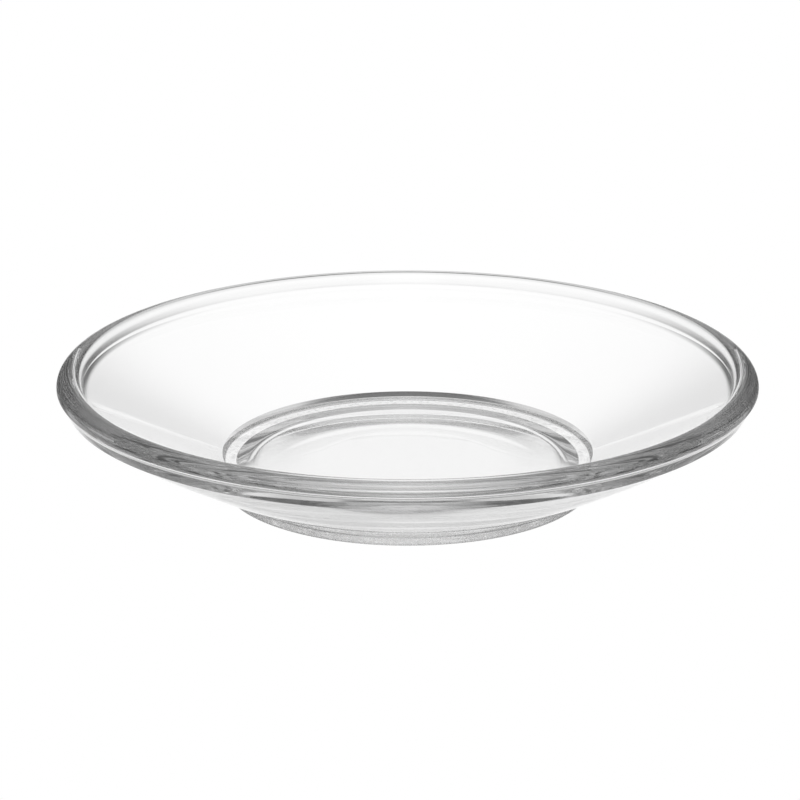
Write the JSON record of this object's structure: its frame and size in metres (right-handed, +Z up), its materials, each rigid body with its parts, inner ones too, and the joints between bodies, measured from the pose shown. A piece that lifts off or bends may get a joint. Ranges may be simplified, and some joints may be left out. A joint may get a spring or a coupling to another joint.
{
  "type": "glass saucer",
  "caption": "Clear pressed-glass saucer with a rounded rim, a shallow flared wall, a flat floor for the cup and a low foot ring.",
  "frame": {"origin": "centre of the plane the foot ring rests on", "axes": "+Z up along the axis of the turned shape; X and Y are equal by symmetry"},
  "size_m": [0.1356, 0.1356, 0.0236],
  "materials": {
    "clear_glass": "clear colourless glass, pressed and fire-polished, fine stipple on the foot ring"
  },
  "bodies": {
    "root": {"saucer": "clear_glass"}
  },
  "joints": []
}
